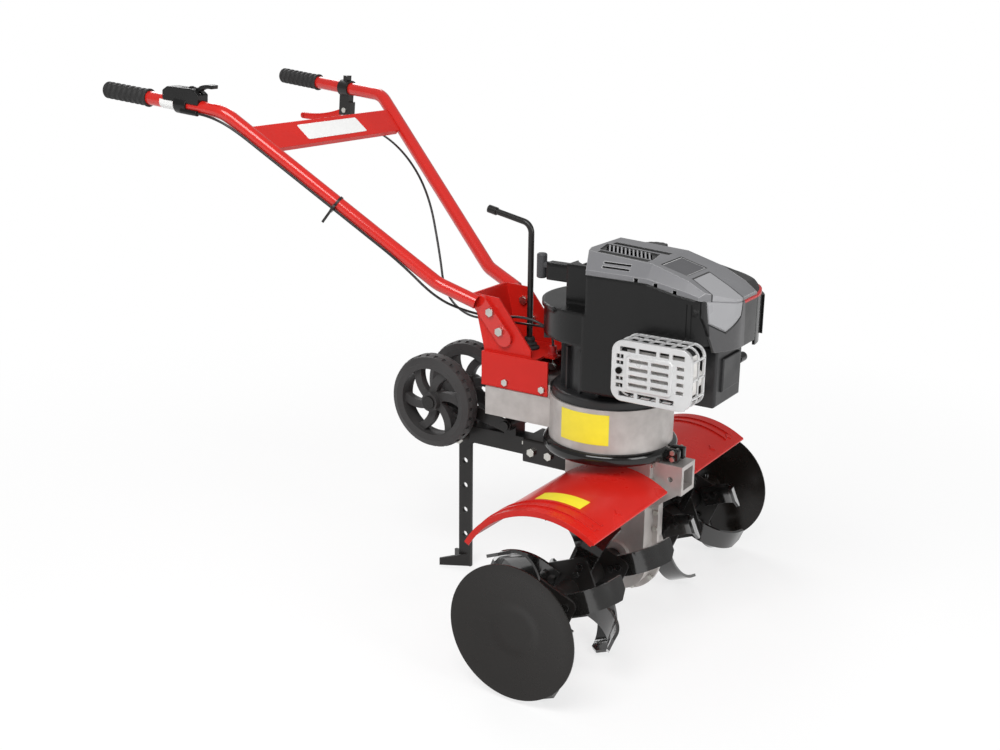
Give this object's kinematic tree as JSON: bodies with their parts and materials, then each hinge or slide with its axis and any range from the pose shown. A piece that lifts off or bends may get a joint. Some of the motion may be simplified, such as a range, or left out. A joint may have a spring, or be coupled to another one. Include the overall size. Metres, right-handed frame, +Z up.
{
  "type": "garden tiller",
  "caption": "Walk-behind garden tiller: upright-shaft engine over a worm gearbox, bent tine rotors with side discs, red handlebar, drag spur and swing-up wheels.",
  "frame": {"origin": "on the ground, under the middle of the machine's bounding box", "axes": "+X forward (longest extent), +Y to the operator's left (shortest extent), +Z up; metres"},
  "size_m": [1.3346, 0.85, 1.0104],
  "materials": {
    "red_paint": "gloss",
    "black_steel": "satin",
    "tine_steel": "satin",
    "bare_steel": "ground",
    "zinc_steel": "zinc plated",
    "cast_aluminium": "as cast",
    "engine_metal": "painted casting",
    "cast_iron": "machined",
    "gear_bronze": "machined",
    "exhaust_steel": "dull",
    "guard_paint": "silver",
    "black_plastic": "fine grain",
    "grey_plastic": "fine grain",
    "red_plastic": "moulded",
    "wheel_plastic": "moulded",
    "black_rubber": "ribbed"
  },
  "bodies": {
    "frame": {"gearbox_left": "cast_aluminium", "gearbox_right": "cast_aluminium", "gearbox_bolts": "zinc_steel", "bearings_and_seals": "bare_steel", "front_socket": "cast_aluminium", "clutch_bell": "cast_aluminium", "clamp_band": "black_steel", "pivot_pins": "zinc_steel", "engine_block": "engine_metal", "cylinder_head": "engine_metal", "spark_plug": "black_plastic", "blower_housing": "black_plastic", "top_cover": "grey_plastic", "front_panel": "grey_plastic", "air_filter_cover": "black_plastic", "muffler": "exhaust_steel", "muffler_guard": "guard_paint", "fuel_tank": "black_plastic", "fender_left": "red_paint", "fender_right": "red_paint", "frame_bolts": "zinc_steel", "handle_bracket": "red_paint", "handle_tube_left": "red_paint", "handle_tube_right": "red_paint", "crossbar": "red_paint", "handle_grips": "black_rubber", "throttle_housing": "black_plastic", "clutch_bracket": "black_steel", "clutch_cable": "black_rubber", "throttle_cable": "black_rubber", "cable_fittings": "red_plastic", "rod_boot": "black_rubber", "bar_clamp": "black_steel", "drag_bar": "black_steel"},
    "tine_rotor": {"tine_shaft": "bare_steel", "tine_hubs": "black_steel", "tines_left": "tine_steel", "tines_right": "tine_steel", "side_disc_left": "black_steel", "side_disc_right": "black_steel", "tine_bolts": "zinc_steel", "hub_pins": "zinc_steel", "worm_wheel": "gear_bronze"},
    "worm": {"worm_shaft": "bare_steel"},
    "clutch_cone": {"clutch_driven_cone": "cast_iron"},
    "crank": {"crankshaft": "bare_steel", "flywheel": "cast_iron", "clutch_driver_cup": "cast_iron"},
    "clutch_arm": {"clutch_arm": "zinc_steel"},
    "clutch_lever": {"clutch_lever": "red_paint"},
    "throttle_lever": {"throttle_lever": "black_plastic"},
    "gear_rod": {"gear_rod": "zinc_steel"},
    "fuel_cap": {"fuel_cap": "black_plastic"},
    "starter_grip": {"starter_grip": "grey_plastic"},
    "spur": {"spur": "black_steel"},
    "spur_pin": {"spur_pin": "zinc_steel"},
    "wheel_carrier": {"wheel_arms": "black_steel", "wheel_fixings": "zinc_steel"},
    "wheel_left": {"wheel_left": "wheel_plastic"},
    "wheel_right": {"wheel_right": "wheel_plastic"}
  },
  "joints": [
    {"name": "tine_spin", "type": "hinge", "parent": "frame", "child": "tine_rotor", "pos_m": [0.43029, 0, 0.1344], "axis": [0, 1, 0], "continuous": true},
    {"name": "worm_spin", "type": "hinge", "parent": "frame", "child": "worm", "pos_m": [0.38929, 0, 0.1344], "axis": [0, 0, 1], "continuous": true},
    {"name": "clutch_cone_slide", "type": "slide", "parent": "worm", "child": "clutch_cone", "axis": [0, 0, 1], "range_m": [0, 0.0022]},
    {"name": "crank_spin", "type": "hinge", "parent": "frame", "child": "crank", "pos_m": [0.38929, 0, 0.45441], "axis": [0, 0, 1], "continuous": true},
    {"name": "clutch_lever_squeeze", "type": "hinge", "parent": "frame", "child": "clutch_lever", "pos_m": [-0.46529, 0.25802, 0.9207], "axis": [0.0558, 0.9984, 0], "range_deg": [0, 20], "stiffness_Nm_per_rad": 3, "springref_deg": -22.92},
    {"name": "clutch_arm_swing", "type": "hinge", "parent": "frame", "child": "clutch_arm", "pos_m": [0.20429, -0.02, 0.49], "axis": [0, 1, 0], "range_deg": [-7.7, 0]},
    {"name": "throttle_lever_turn", "type": "hinge", "parent": "frame", "child": "throttle_lever", "pos_m": [-0.43526, -0.25634, 0.99626], "axis": [-0.0558, 0.9984, 0], "range_deg": [-55, 0]},
    {"name": "gear_rod_turn", "type": "hinge", "parent": "frame", "child": "gear_rod", "pos_m": [0.20029, 0, 0.52], "axis": [0, 0, 1], "range_deg": [-20, 20]},
    {"name": "fuel_cap_turn", "type": "hinge", "parent": "frame", "child": "fuel_cap", "pos_m": [0.43029, 0.074, 0.72], "axis": [0, 0, 1], "range_deg": [0, 90]},
    {"name": "starter_grip_pull", "type": "slide", "parent": "frame", "child": "starter_grip", "axis": [-1, 0, 0], "range_m": [0, 0.6], "stiffness_N_per_m": 20, "springref_m": -0.5},
    {"name": "spur_depth", "type": "slide", "parent": "frame", "child": "spur", "axis": [0, 0, 1], "range_m": [0, 0.168]},
    {"name": "spur_pin_slide", "type": "slide", "parent": "frame", "child": "spur_pin", "axis": [0, 1, 0], "range_m": [0, 0.014]},
    {"name": "wheel_carrier_swing", "type": "hinge", "parent": "frame", "child": "wheel_carrier", "pos_m": [0.16829, 0, 0.352], "axis": [0, 1, 0], "range_deg": [-80, 0]},
    {"name": "wheel_left_spin", "type": "hinge", "parent": "wheel_carrier", "child": "wheel_left", "pos_m": [0.01429, 0.064, 0.386], "axis": [0, 1, 0], "continuous": true},
    {"name": "wheel_right_spin", "type": "hinge", "parent": "wheel_carrier", "child": "wheel_right", "pos_m": [0.01429, -0.064, 0.386], "axis": [0, 1, 0], "continuous": true}
  ],
  "couplings": [
    {"joint": "worm_spin", "follows": "tine_spin", "ratio": -22},
    {"joint": "clutch_cone_slide", "follows": "clutch_lever_squeeze", "m_per_rad": 0.0063025},
    {"joint": "clutch_arm_swing", "follows": "clutch_lever_squeeze", "ratio": -0.38}
  ]
}
